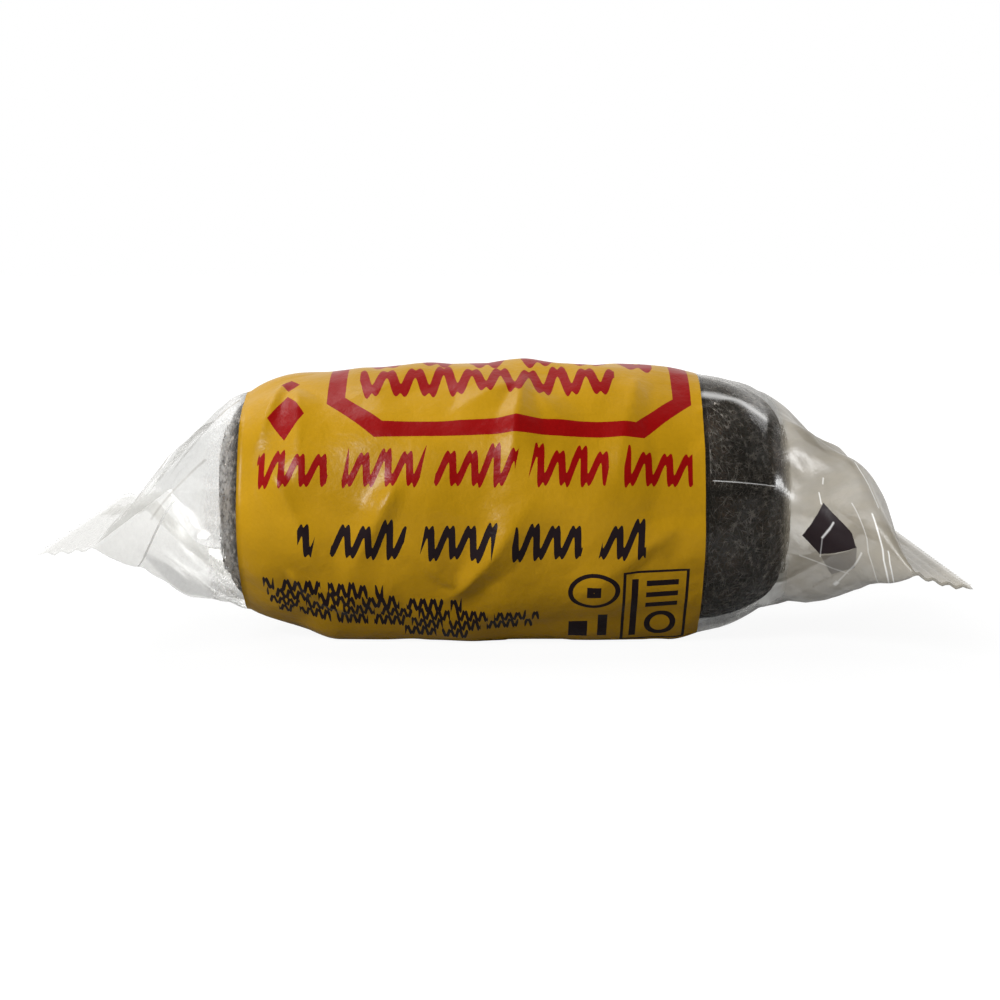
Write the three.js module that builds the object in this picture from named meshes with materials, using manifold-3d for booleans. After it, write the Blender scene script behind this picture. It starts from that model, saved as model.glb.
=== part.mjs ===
// A small roll of steel wool in a flow-wrapped film pack, lying on its side.
// Millimetres, +Z up. X runs along the roll, -Y is the side with the main print, and the
// origin is on the surface under the middle of the pack.

import * as THREE from "three";
import { ParametricGeometry } from "three/addons/geometries/ParametricGeometry.js";
import { mergeGeometries, mergeVertices } from "three/addons/utils/BufferGeometryUtils.js";
import Module from "manifold-3d";

// The wound ribbon
const ROLL_LENGTH = 77;
const ROLL_DIAMETER = 38.2;
const BARREL_DROP = 3.2; // how much smaller the roll's radius is at its ends than at its middle
const SHOULDER_LENGTH = 10;
const SHOULDER_DROP = 5;
const LAP_STEP = 1.4; // the step at the ribbon's outer end, which runs along the roll
const LAP_ANGLE = 11; // degrees above the middle of the front
const RIBBON_THICKNESS = 4.2;
const GROOVE_WIDTH = 0.8; // between the turns, where they show on the roll's ends
const GROOVE_DEPTH = 3;
const CORE_RADIUS = 1.2; // where the innermost turn starts

// The film
const FILM_WALL = 0.15;
const FILM_GAP = 0.45; // from the wool to the film
const TAIL_LENGTH = 14; // from the roll's end to the end seal
const SEAL_LENGTH = 7.5;
const SEAL_SLIT = 0.25; // between the two layers in an end seal
const SEAL_SLACK = 1; // how much the film's flat width exceeds what the roll takes up
const COLLAPSE_START = 2.5; // how far inside the roll's end the film leaves the wool
const DROOP_LEFT = 3;
const DROOP_RIGHT = 7.5;
const GATHERS = 8; // shallow pleats round each collapsing end
const GATHER_HEIGHT = 0.6;
const RIB_PITCH = 1.9; // crimp ribs across an end seal
const RIB_HEIGHT = 0.22;
const TOOTH_PITCH = 2.8; // the saw-tooth cut at the outer edge of an end seal
const TOOTH_DEPTH = 0.7;

// The seam along the back, a fin of two layers folded flat on the tube
const FIN_ANGLE = 215; // degrees, from the middle of the front, over the top, to the fin's root
const FIN_WIDTH = 9;
const FIN_GAP = 0.15;

// The patch that the soft pack is pressed flat on where it rests
const FLAT_LENGTH = 46;
const FLAT_WIDTH = 11.4;

// Facets
const ROLL_FACETS = 48;
const GROOVE_FACETS = 24; // to each turn
const BODY_STATIONS = 7; // on each side of the middle
const COLLAPSE_STATIONS = 7;
const SHOULDER_STATIONS = 5;
const LEAST_NOTCHED = 0.2; // of a facet

const wasm = await Module();
wasm.setup();

const DEGREE = Math.PI / 180;
const rollHalf = ROLL_LENGTH / 2;
const rollRadius = ROLL_DIAMETER / 2;
const sealStart = rollHalf + TAIL_LENGTH;
const packHalf = sealStart + SEAL_LENGTH;
const collapseAt = rollHalf - COLLAPSE_START;
const packRadius = rollRadius + FILM_GAP + FILM_WALL;
const axisHeight = Math.sqrt(packRadius ** 2 - (FLAT_WIDTH / 2) ** 2);
const filmRound = 2 * Math.PI * (rollRadius + FILM_GAP) + SEAL_SLACK;
const teethRound = 4 * Math.round(filmRound / (4 * TOOTH_PITCH)); // one facet to each tooth

// The roll's radius at x, before the ribbon's lap steps in
function rollRadiusAt(x) {
  const barrel = rollRadius - BARREL_DROP * (x / rollHalf) ** 2;
  const inShoulder = Math.max(0, 1 - (rollHalf - Math.abs(x)) / SHOULDER_LENGTH);
  return barrel - SHOULDER_DROP * (1 - Math.sqrt(1 - inShoulder ** 2));
}

// A patch through a grid of points, given as (column, row), which may close on itself.
function patch(columns, rows, pointAt) {
  const at = (u, v, target) => target.copy(pointAt(Math.round(u * columns), Math.round(v * rows)));
  return new ParametricGeometry(at, columns, rows);
}

// Several geometries as one, with the points they share merged.
function merged(...geometries) {
  for (const geometry of geometries) {
    geometry.deleteAttribute("normal");
    geometry.deleteAttribute("uv");
  }
  return mergeVertices(mergeGeometries(geometries), 1e-5);
}

// The same faces seen from their other side, so that two layers split their facets alike.
function turnedOver(geometry) {
  geometry.index.array.reverse();
  return geometry;
}

// A closed geometry as a solid, without the faces that collapsed at a pole.
function solid(geometry) {
  const { position } = geometry.attributes;
  const { array } = geometry.index;
  const triangles = [];
  for (let i = 0; i < array.length; i += 3) {
    const [a, b, c] = array.subarray(i, i + 3);
    if (a !== b && b !== c && c !== a) triangles.push(a, b, c);
  }
  const mesh = new wasm.Mesh({
    numProp: 3,
    vertProperties: new Float32Array(position.array),
    triVerts: new Uint32Array(triangles),
  });
  return new wasm.Manifold(mesh);
}

function geometryOf(body) {
  const mesh = body.getMesh();
  const geometry = new THREE.BufferGeometry();
  geometry.setAttribute("position", new THREE.BufferAttribute(mesh.vertProperties, 3));
  geometry.setIndex(new THREE.BufferAttribute(mesh.triVerts, 1));
  geometry.computeVertexNormals();
  return geometry;
}

// The wound ribbon: a barrel whose radius steps in under the ribbon's outer end, with the gap
// between its turns showing as a spiral groove on both ends.
function rollSurface() {
  const profile = [new THREE.Vector2(0, rollHalf)];
  for (let i = 0; i <= SHOULDER_STATIONS; i += 1) {
    const turn = (i / SHOULDER_STATIONS) * (Math.PI / 2);
    const x = rollHalf - SHOULDER_LENGTH * (1 - Math.cos(turn));
    profile.push(new THREE.Vector2(rollRadiusAt(x), x));
  }
  for (let i = BODY_STATIONS - 1; i > 0; i -= 1) {
    const x = ((rollHalf - SHOULDER_LENGTH) * i) / BODY_STATIONS;
    profile.push(new THREE.Vector2(rollRadiusAt(x), x));
  }
  profile.push(new THREE.Vector2(rollRadius, 0));
  const otherHalf = profile.slice(0, -1).reverse();
  profile.push(...otherHalf.map((p) => new THREE.Vector2(p.x, -p.y)));

  const lapShare = LAP_STEP / rollRadius;
  return patch(ROLL_FACETS + 1, profile.length - 1, (column, row) => {
    const turn = (column % (ROLL_FACETS + 1)) / ROLL_FACETS;
    const angle = LAP_ANGLE * DEGREE + turn * 2 * Math.PI;
    const r = profile[row].x * (1 - lapShare * turn);
    return new THREE.Vector3(profile[row].y, -r * Math.cos(angle), axisHeight + r * Math.sin(angle));
  });
}

// The gap between the turns on one end, from the ribbon's outer end inwards.
function spiralGroove(side) {
  const floorAt = rollHalf - GROOVE_DEPTH;
  const outermost = rollRadiusAt(floorAt) * (1 - LAP_STEP / rollRadius);
  const turns = (outermost - CORE_RADIUS) / RIBBON_THICKNESS;
  const steps = Math.round(turns * GROOVE_FACETS);
  const edge = (i, offset) => {
    const turn = (turns * i) / steps;
    const angle = LAP_ANGLE * DEGREE + turn * 2 * Math.PI;
    const r = outermost - turn * RIBBON_THICKNESS + offset;
    return new THREE.Vector2(-r * Math.cos(angle), axisHeight + r * Math.sin(angle));
  };
  const outline = [];
  for (let i = 0; i <= steps; i += 1) outline.push(edge(i, GROOVE_WIDTH / 2));
  for (let i = steps; i >= 0; i -= 1) outline.push(edge(i, -GROOVE_WIDTH / 2));
  const options = { depth: GROOVE_DEPTH * 2, bevelEnabled: false };
  const groove = new THREE.ExtrudeGeometry(new THREE.Shape(outline), options);
  groove.rotateZ(Math.PI / 2);
  groove.rotateY(Math.PI / 2);
  groove.translate(side > 0 ? floorAt : -floorAt - GROOVE_DEPTH * 2, 0, 0);
  return solid(merged(groove));
}

function woolRoll() {
  const under = new THREE.BoxGeometry(ROLL_LENGTH * 2, ROLL_DIAMETER * 2, ROLL_DIAMETER);
  under.translate(0, 0, FILM_WALL + FILM_GAP - ROLL_DIAMETER / 2);
  const round = solid(merged(rollSurface()));
  const flattened = round.subtract(solid(merged(under)));
  return geometryOf(flattened.subtract(spiralGroove(-1)).subtract(spiralGroove(1)));
}

// Where the film's cross-section stands at x: its half height, its centre and its length round.
function filmStation(x) {
  const side = Math.sign(x);
  const reach = Math.abs(x);
  const atCollapse = rollRadiusAt(collapseAt) + FILM_GAP;
  if (reach <= collapseAt) {
    const half = rollRadiusAt(x) + FILM_GAP;
    return { x, half, round: 2 * Math.PI * half, centre: 0, pleat: 0 };
  }
  const share = Math.min(1, (reach - collapseAt) / (sealStart - collapseAt));
  const out = (reach - collapseAt) / (packHalf - collapseAt);
  const half = THREE.MathUtils.lerp(atCollapse, SEAL_SLIT / 2, share);
  const round = THREE.MathUtils.lerp(2 * Math.PI * atCollapse, filmRound, share);
  const droop = (side < 0 ? DROOP_LEFT : DROOP_RIGHT) * THREE.MathUtils.smoothstep(out, 0, 1);
  const pleat = 4 * share * (1 - share) * GATHER_HEIGHT;
  return { x, half, round, centre: -droop, pleat };
}

// A point on a flattened tube of constant length round: two flat layers joined by half circles.
// At full height it is a circle and at no height it is two layers of film, so a tail made of
// such sections folds flat as real film does. share runs from the front, over the top.
function tubePoint(station, share, out) {
  const { half, round } = station;
  const flat = Math.max(0, (round - 2 * Math.PI * half) / 4);
  const wrapped = share - Math.floor(share);
  const quarter = Math.min(3, Math.floor(wrapped * 4));
  const rising = quarter === 0 || quarter === 2;
  const along = (wrapped * 4 - quarter) * (round / 4);
  const fromEdge = rising ? along : round / 4 - along;
  const arc = (half * Math.PI) / 2;
  const onArc = fromEdge < arc;
  const angle = onArc ? fromEdge / half : Math.PI / 2;
  const front = quarter === 0 || quarter === 3 ? -1 : 1;
  const up = quarter < 2 ? 1 : -1;
  const pleat = station.pleat * Math.cos(GATHERS * 2 * Math.PI * share);
  const reach = half + out + pleat;
  const y = front * (flat + reach * Math.cos(angle) - (onArc ? 0 : fromEdge - arc));
  const z = axisHeight + station.centre + up * reach * Math.sin(angle) + (station.rib ?? 0);
  const resting = FILM_WALL - out;
  const acrossPatch = up < 0 && packRadius * Math.cos(angle) <= FLAT_WIDTH / 2;
  if (acrossPatch && Math.abs(station.x) <= FLAT_LENGTH / 2) {
    const straightened = front * Math.cos(angle) * (packRadius - resting); // so that its sides are straight
    return new THREE.Vector3(station.x, straightened, resting);
  }
  return new THREE.Vector3(station.x, y, Math.max(z, resting));
}

// The sections that the film runs through, from the left seal to the right one.
function filmStations() {
  const half = [];
  for (let i = 0; i <= BODY_STATIONS; i += 1) {
    half.push(filmStation(collapseAt * Math.sin((Math.PI / 2) * (i / BODY_STATIONS))));
  }
  for (let i = 1; i < COLLAPSE_STATIONS; i += 1) {
    half.push(filmStation(THREE.MathUtils.lerp(collapseAt, sealStart, i / COLLAPSE_STATIONS)));
  }
  const ribbed = SEAL_LENGTH - 2 * TOOTH_DEPTH;
  const folds = Math.round((2 * ribbed) / RIB_PITCH);
  for (let i = 0; i <= folds; i += 1) {
    const rib = i % folds === 0 ? 0 : RIB_HEIGHT * (i % 2 ? 1 : -1);
    half.push({ ...filmStation(sealStart + (ribbed * i) / folds), rib });
  }
  const left = half.slice(1).reverse();
  return [...left.map((s) => ({ ...filmStation(-s.x), rib: s.rib })), ...half];
}

// The outline of the film from the seam's root, once round the tube, then out over the fin and
// back under it. Each place is a share of the way round and a distance from the inner face.
function filmOutline() {
  const root = Math.round((FIN_ANGLE / 360) * teethRound) / teethRound;
  const neck = (2 * FILM_WALL) / filmRound;
  const finEnd = FIN_WIDTH / filmRound;
  const finFacets = Math.ceil(finEnd * teethRound);
  const under = FILM_WALL + FIN_GAP;
  const top = under + 2 * FILM_WALL;
  const tube = [];
  for (let i = 0; i < teethRound; i += 1) {
    tube.push({ share: root + i / teethRound, out: FILM_WALL });
  }
  tube.push({ share: root + 1 - neck, out: FILM_WALL });
  const above = [{ share: root + 1 - neck, out: top }];
  const below = [{ share: root + 1, out: under }];
  for (let i = 1; i <= finFacets; i += 1) {
    const share = root + 1 + Math.min(finEnd, i / teethRound);
    above.push({ share, out: top });
    below.push({ share, out: under });
  }
  return { tube, above, below };
}

// The place between two neighbours where a notch is cut, or none where they are on different
// layers of the film or only a fold apart.
function notchBetween(a, b) {
  const next = b.share + Math.round(a.share - b.share);
  const facets = Math.abs(next - a.share) * teethRound;
  if (a.out !== b.out || facets < LEAST_NOTCHED) return [];
  return [{ share: (a.share + next) / 2, out: a.out }];
}

// A point of the saw-toothed edge on one side: each facet round the tube ends in one notch.
function edgePoint(side, { share, out }) {
  const facet = share * teethRound;
  const notch = TOOTH_DEPTH * (1 - Math.abs(2 * (facet - Math.floor(facet)) - 1));
  return tubePoint({ ...filmStation(side * packHalf), x: side * (packHalf - notch) }, share, out);
}

// The hem from the last station to the saw-toothed edge, for one closed run of places.
function hem(side, station, places) {
  const corners = [];
  for (const [i, a] of places.entries()) {
    const b = places[(i + 1) % places.length];
    const [nearA, nearB] = [a, b].map(({ share, out }) => tubePoint(station, share, out));
    const row = [a, ...notchBetween(a, b), b].map((spot) => edgePoint(side, spot));
    for (let k = 1; k < row.length; k += 1) corners.push(nearA, row[k - 1], row[k]);
    corners.push(nearA, row.at(-1), nearB);
  }
  const geometry = new THREE.BufferGeometry().setFromPoints(corners);
  return geometry.setIndex(corners.map((_, i) => i));
}

// The cut face of the film between two open runs of places.
function cutFace(side, left, right) {
  const edge = (places) =>
    places.flatMap((a, i) => [a, ...(i + 1 < places.length ? notchBetween(a, places[i + 1]) : [])]);
  const rows = [left, right].map((places) => edge(places).map((spot) => edgePoint(side, spot)));
  return patch(rows[0].length - 1, 1, (column, row) => rows[row][column]);
}

function filmWrapper() {
  const stations = filmStations();
  const last = stations.length - 1;
  const { tube, above, below } = filmOutline();
  const outer = [...tube, ...above, ...below.toReversed()];
  const inner = tube.map(({ share }) => ({ share, out: 0 }));
  const layer = (places) =>
    patch(places.length - 1, last, (column, row) => {
      const { share, out } = places[column];
      return tubePoint(stations[last - row], share, out);
    });
  const outside = layer([...tube, ...above, below.at(-1)]);
  const underFin = turnedOver(layer([tube[0], ...below]));
  const inside = turnedOver(layer([...inner, inner[0]]));
  const across = [
    [inner, tube],
    [[inner[0], tube[0], ...below], [inner.at(-1), tube.at(-1), ...above]],
  ];
  const ends = [-1, 1].flatMap((side) => {
    const station = side < 0 ? stations[0] : stations[last];
    const turned = (places) => (side < 0 ? places.toReversed() : places);
    return [
      hem(side, station, turned(outer)),
      turnedOver(hem(side, station, turned(inner))),
      ...across.map((runs) => cutFace(side, ...turned(runs))),
    ];
  });
  return geometryOf(solid(merged(outside, underFin, inside, ...ends)));
}

function part(name, geometry, colour, roughness, metalness) {
  const material = new THREE.MeshStandardMaterial({ color: colour, roughness, metalness });
  const mesh = new THREE.Mesh(geometry, material);
  mesh.name = name;
  return mesh;
}

const steelWoolRoll = new THREE.Group();
steelWoolRoll.add(part("wool_roll", woolRoll(), 0x4a4542, 0.7, 0.6));
steelWoolRoll.add(part("film_wrapper", filmWrapper(), 0xc8991f, 0.25, 0));

export default steelWoolRoll;
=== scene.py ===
import math
import random

import bmesh
import bpy
from bpy.props import FloatProperty, FloatVectorProperty, IntProperty, PointerProperty
from mathutils import Matrix, Vector, noise


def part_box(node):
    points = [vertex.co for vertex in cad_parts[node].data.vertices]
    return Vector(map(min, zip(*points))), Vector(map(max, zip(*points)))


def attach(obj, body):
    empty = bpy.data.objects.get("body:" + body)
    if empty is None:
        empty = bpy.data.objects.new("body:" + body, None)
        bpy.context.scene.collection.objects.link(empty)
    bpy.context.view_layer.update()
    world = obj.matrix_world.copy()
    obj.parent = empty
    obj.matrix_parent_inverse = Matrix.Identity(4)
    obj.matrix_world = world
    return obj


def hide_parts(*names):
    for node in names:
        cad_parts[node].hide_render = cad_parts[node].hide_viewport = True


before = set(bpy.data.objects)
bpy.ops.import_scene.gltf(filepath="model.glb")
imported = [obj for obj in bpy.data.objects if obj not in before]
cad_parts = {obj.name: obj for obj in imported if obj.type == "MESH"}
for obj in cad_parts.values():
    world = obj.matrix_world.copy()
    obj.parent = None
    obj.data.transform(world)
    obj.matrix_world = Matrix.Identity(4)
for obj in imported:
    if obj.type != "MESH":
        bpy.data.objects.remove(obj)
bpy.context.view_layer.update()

bl_info = {
    "name": "Steel Wool Roll",
    "version": (1, 0, 0),
    "blender": (4, 5, 0),
    "location": "3D View > Sidebar > Wool Roll",
    "description": "Builds the looks of a wound roll of steel wool in a printed film wrapper",
    "category": "Object",
}

MM = 0.001

# The roll and the film as the CAD frame has them, in millimetres
ROLL_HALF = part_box("wool_roll")[1][0] / MM
ROLL_RADIUS = 19.1
BARREL_DROP = 3.2
SHOULDER_LENGTH = 10
SHOULDER_DROP = 5
LAP_STEP = 1.4
LAP_ANGLE = math.radians(11)
RIBBON_THICKNESS = 4.2
FILM_WALL = 0.15
FILM_GAP = 0.45
PACK_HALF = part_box("film_wrapper")[1][0] / MM
SEAL_LENGTH = 7.5
SEAL_START = PACK_HALF - SEAL_LENGTH
SEAL_SLIT = 0.25
COLLAPSE_AT = ROLL_HALF - 2.5
DROOP_LEFT = 3
DROOP_RIGHT = 7.5
GATHERS = 8
GATHER_HEIGHT = 0.6
RIB_PITCH = 1.9
RIB_HEIGHT = 0.22
TOOTH_PITCH = 2.8
TOOTH_DEPTH = 0.7
FIN_WIDTH = 9
FIN_GAP = 0.15
FLAT_LENGTH = 46
FLAT_WIDTH = 11.4
PATCH_BLEND = 7  # over which the film rounds off round the patch that it rests on
FULLNESS = 1.35  # how late the tails collapse: 1 is even

# The upper layer's fold just before the right seal: where it starts along the roll, and its
# front and its back edge, each with the length over which it rises or falls
BULGE_HEIGHT = 5.0
BULGE_START, BULGE_RISE = 42.5, 7
BULGE_END, BULGE_FALL = SEAL_START + 0.2, 2.2
BULGE_FRONT, BULGE_FRONT_RISE = -31, 14
BULGE_BACK, BULGE_BACK_FALL = 29, 16

PACK_RADIUS = ROLL_RADIUS + FILM_GAP + FILM_WALL
AXIS_HEIGHT = math.sqrt(PACK_RADIUS**2 - (FLAT_WIDTH / 2) ** 2)
FILM_ROUND = 2 * math.pi * (ROLL_RADIUS + FILM_GAP) + 1
FIN_ROOT = 26 / 44  # share of the way round, from the front over the top


class WrapperSettings(bpy.types.PropertyGroup):
    """Sizes and colours of the film."""

    grid: FloatProperty(
        name="Grid",
        description="Spacing of the film's mesh",
        default=0.5 * MM, unit="LENGTH", precision=5,
    )
    crumple: FloatProperty(
        name="Crumple",
        description="Height of the film's small dents",
        default=0.22 * MM, unit="LENGTH", precision=5,
    )
    band_left: FloatProperty(
        name="Band left",
        description="Where the printed band begins along the roll",
        default=-36.3 * MM, unit="LENGTH",
    )
    band_right: FloatProperty(
        name="Band right",
        description="Where the printed band ends along the roll",
        default=26.8 * MM, unit="LENGTH",
    )
    yellow: FloatVectorProperty(
        name="Yellow",
        description="The band's ground",
        default=(0.455, 0.245, 0.005), subtype="COLOR",
    )
    red: FloatVectorProperty(
        name="Red",
        description="The band's large print",
        default=(0.24, 0.002, 0.002), subtype="COLOR",
    )
    black: FloatVectorProperty(
        name="Black",
        description="The band's small print",
        default=(0.012, 0.006, 0.008), subtype="COLOR",
    )
    # Partly the film's own milkiness, partly painted shade: this warm grey stands for the shade
    # seen through the right end
    milk_and_painted_light: FloatVectorProperty(
        name="Haze",
        description="The clear film's scatter at the right end",
        default=(0.335, 0.30, 0.235), subtype="COLOR",
    )
    # Painted light: this white stands for the light that floods the left end, and it also colours
    # the painted glints on the creases
    painted_glare: FloatVectorProperty(
        name="Glare",
        description="The clear film's scatter at the left end",
        default=(0.95, 0.95, 0.94), subtype="COLOR",
    )


class WoolSettings(bpy.types.PropertyGroup):
    """Sizes and colours of the wound steel wool."""

    strand_width: FloatProperty(
        name="Strand width",
        description="Thickness of a steel fibre",
        default=0.07 * MM, unit="LENGTH", precision=5,
    )
    strands: IntProperty(
        name="Strands",
        description="Loose fibres at each end of the roll",
        default=4200,
    )
    lumps: FloatProperty(
        name="Lumps",
        description="Height of the wool's lumps",
        default=0.35 * MM, unit="LENGTH", precision=5,
    )
    dark: FloatVectorProperty(
        name="Dark",
        description="The depth of the wool",
        default=(0.022, 0.014, 0.009), subtype="COLOR",
    )
    light: FloatVectorProperty(
        name="Light",
        description="The wool's outer fibres",
        default=(0.220, 0.148, 0.098), subtype="COLOR",
    )
    bright: FloatVectorProperty(
        name="Bright",
        description="A bare steel fibre",
        default=(0.60, 0.55, 0.50), subtype="COLOR",
    )


class StageSettings(bpy.types.PropertyGroup):
    """The camera and the light."""

    distance: FloatProperty(
        name="Distance",
        description="From the camera to the roll's axis",
        default=300 * MM, unit="LENGTH",
    )
    elevation: FloatProperty(
        name="Elevation",
        description="How far the camera looks down",
        default=math.radians(7), subtype="ANGLE",
    )
    lens: FloatProperty(name="Lens", description="Focal length", default=76, unit="CAMERA")
    aim: FloatVectorProperty(
        name="Aim",
        description="What the camera looks at",
        default=(-0.7 * MM, 0, 18.9 * MM), subtype="XYZ",
    )


class Level:
    """A number in a material. Python's operators carry on with it by Math nodes."""

    def __init__(self, finish, socket):
        self.finish = finish
        self.socket = socket

    def __add__(self, other):
        return self.finish.maths("ADD", self, other)

    def __radd__(self, other):
        return self.finish.maths("ADD", other, self)

    def __sub__(self, other):
        return self.finish.maths("SUBTRACT", self, other)

    def __rsub__(self, other):
        return self.finish.maths("SUBTRACT", other, self)

    def __mul__(self, other):
        return self.finish.maths("MULTIPLY", self, other)

    def __rmul__(self, other):
        return self.finish.maths("MULTIPLY", other, self)

    def __truediv__(self, other):
        return self.finish.maths("DIVIDE", self, other)

    def __rtruediv__(self, other):
        return self.finish.maths("DIVIDE", other, self)

    def __lt__(self, other):
        return self.finish.maths("LESS_THAN", self, other)

    def __gt__(self, other):
        return self.finish.maths("GREATER_THAN", self, other)

    def __abs__(self):
        return self.finish.maths("ABSOLUTE", self)


class Finish:
    """The nodes of a material or a world being made."""

    def __init__(self, owner):
        owner.use_nodes = True
        self.owner = owner
        self.tree = owner.node_tree
        self.tree.nodes.clear()

    def add(self, kind, settings=None, **inputs):
        """A node with its settings, and the values or links of its sockets.

        A socket goes by its name, with _ for a space, or by i and its number.
        """
        node = self.tree.nodes.new(kind)
        for name, value in (settings or {}).items():
            setattr(node, name, value)
        for name, value in inputs.items():
            key = int(name[1:]) if name[1:].isdigit() else name.replace("_", " ")
            self.connect(value, node.inputs[key])
        return node

    def connect(self, value, socket):
        if isinstance(value, Level):
            value = value.socket
        if isinstance(value, bpy.types.NodeSocket):
            self.tree.links.new(value, socket)
        else:
            socket.default_value = value

    def maths(self, operation, *values):
        inputs = {f"i{i}": value for i, value in enumerate(values)}
        node = self.add("ShaderNodeMath", {"operation": operation}, **inputs)
        return Level(self, node.outputs[0])

    def floor(self, value):
        return self.maths("FLOOR", value)

    def most(self, *values):
        top = values[0]
        for value in values[1:]:
            top = self.maths("MAXIMUM", top, value)
        return top

    def least(self, *values):
        low = values[0]
        for value in values[1:]:
            low = self.maths("MINIMUM", low, value)
        return low

    def ramp(self, value, low, high, start=0.0, end=1.0):
        """A soft step of a value, from start at low to end at high."""
        node = self.add(
            "ShaderNodeMapRange",
            {"interpolation_type": "SMOOTHSTEP"},
            Value=value, From_Min=low, From_Max=high, To_Min=start, To_Max=end,
        )
        return Level(self, node.outputs[0])

    def chance(self, number):
        """A random number from 0 to 1 for each whole number."""
        node = self.add("ShaderNodeTexWhiteNoise", {"noise_dimensions": "1D"}, W=number)
        return Level(self, node.outputs["Value"])

    def place(self):
        """Where a point of the surface lies, in metres."""
        return self.add("ShaderNodeTexCoord").outputs["Object"]

    def mottle(self, scale, detail=2.0, roughness=0.5, stretch=(1, 1, 1)):
        """Noise over the surface, with its scale in lumps to a millimetre."""
        scales = [scale / MM * s for s in stretch]
        mapped = self.add("ShaderNodeMapping", Vector=self.place(), Scale=scales)
        node = self.add(
            "ShaderNodeTexNoise",
            Vector=mapped.outputs[0], Scale=1.0, Detail=detail, Roughness=roughness,
        )
        return Level(self, node.outputs[0])

    def mix(self, factor, a, b):
        return self.add("ShaderNodeMix", {"data_type": "RGBA"}, i0=factor, i6=a, i7=b).outputs[2]

    def bump(self, height, distance, strength=1.0):
        node = self.add("ShaderNodeBump", Strength=strength, Distance=distance, Height=height)
        return node.outputs[0]

    def shade(self, **inputs):
        return self.add("ShaderNodeBsdfPrincipled", **inputs).outputs[0]

    def blend(self, factor, a, b):
        return self.add("ShaderNodeMixShader", i0=factor, i1=a, i2=b).outputs[0]

    def done(self, shader):
        self.add("ShaderNodeOutputMaterial", Surface=shader)
        return self.owner


def opaque(colour):
    return (*colour, 1.0)


def dimmed(colour, share):
    return opaque([c * share for c in colour])


def smooth(share):
    share = min(1.0, max(0.0, share))
    return share * share * (3 - 2 * share)


def lerp(a, b, share):
    return a + (b - a) * share


def roll_radius(x):
    """The roll's radius, in millimetres, before the ribbon's lap steps in."""
    barrel = ROLL_RADIUS - BARREL_DROP * (x / ROLL_HALF) ** 2
    shoulder = max(0.0, 1 - (ROLL_HALF - abs(x)) / SHOULDER_LENGTH)
    return barrel - SHOULDER_DROP * (1 - math.sqrt(max(0.0, 1 - shoulder**2)))


def finished_object(name, bm, material_list, smooth_faces=True):
    """A bmesh as an object at the origin, with its materials."""
    mesh = bpy.data.meshes.new(name)
    bm.to_mesh(mesh)
    bm.free()
    for material in material_list:
        mesh.materials.append(material)
    if smooth_faces:
        mesh.shade_smooth()
    piece = bpy.data.objects.new(name, mesh)
    bpy.context.scene.collection.objects.link(piece)
    return piece


# The film's shape


class Section:
    """The film's cross-section at x: two flat layers joined by half circles."""

    def __init__(self, x):
        at_collapse = roll_radius(COLLAPSE_AT) + FILM_GAP
        reach = abs(x)
        self.x = x
        self.pleat = 0.0
        self.rib = 0.0
        self.tail = 0.0
        self.bulge = 0.0
        if reach <= COLLAPSE_AT:
            self.half = roll_radius(x) + FILM_GAP
            self.round = 2 * math.pi * self.half
            self.centre = 0.0
            return
        share = min(1.0, (reach - COLLAPSE_AT) / (SEAL_START - COLLAPSE_AT))
        out = (reach - COLLAPSE_AT) / (PACK_HALF - COLLAPSE_AT)
        self.tail = share
        self.half = lerp(at_collapse, SEAL_SLIT / 2, share**FULLNESS)
        self.round = lerp(2 * math.pi * at_collapse, FILM_ROUND, share)
        self.centre = -(DROOP_LEFT if x < 0 else DROOP_RIGHT) * smooth(out)
        self.pleat = 4 * share * (1 - share) * GATHER_HEIGHT
        if x > 0:
            rise = smooth((x - BULGE_START) / BULGE_RISE)
            self.bulge = BULGE_HEIGHT * rise * smooth((BULGE_END - x) / BULGE_FALL)
        if reach > SEAL_START:
            ribs = (reach - SEAL_START) / RIB_PITCH
            fade = smooth((PACK_HALF - reach) / TOOTH_DEPTH - 0.5)
            self.rib = RIB_HEIGHT * math.sin(2 * math.pi * ribs) * fade

    def point(self, share, out):
        """A place at a share of the way round, from the front over the top, and so far out."""
        flat = max(0.0, (self.round - 2 * math.pi * self.half) / 4)
        wrapped = share - math.floor(share)
        quarter = min(3, int(wrapped * 4))
        along = (wrapped * 4 - quarter) * self.round / 4
        from_edge = along if quarter in (0, 2) else self.round / 4 - along
        arc = self.half * math.pi / 2
        on_arc = from_edge < arc
        angle = from_edge / self.half if on_arc else math.pi / 2
        front = -1 if quarter in (0, 3) else 1
        up = 1 if quarter < 2 else -1
        reach = self.half + out + self.pleat * math.cos(GATHERS * 2 * math.pi * share)
        y = front * (flat + reach * math.cos(angle) - (0 if on_arc else from_edge - arc))
        z = AXIS_HEIGHT + self.centre + up * reach * math.sin(angle) + self.rib
        if up > 0:
            rise = smooth((y - BULGE_FRONT) / BULGE_FRONT_RISE)
            z += self.bulge * rise * smooth((BULGE_BACK - y) / BULGE_BACK_FALL)
            return Vector((self.x, y, z))
        resting = max(0.0, FILM_WALL / 2 - out)
        off_side = max(0, abs(y) - FLAT_WIDTH / 2)
        off_end = max(0, abs(self.x) - FLAT_LENGTH / 2)
        share_up = smooth(math.hypot(off_side, off_end) / PATCH_BLEND)
        return Vector((self.x, y, max(resting, lerp(resting, z, share_up))))


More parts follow.
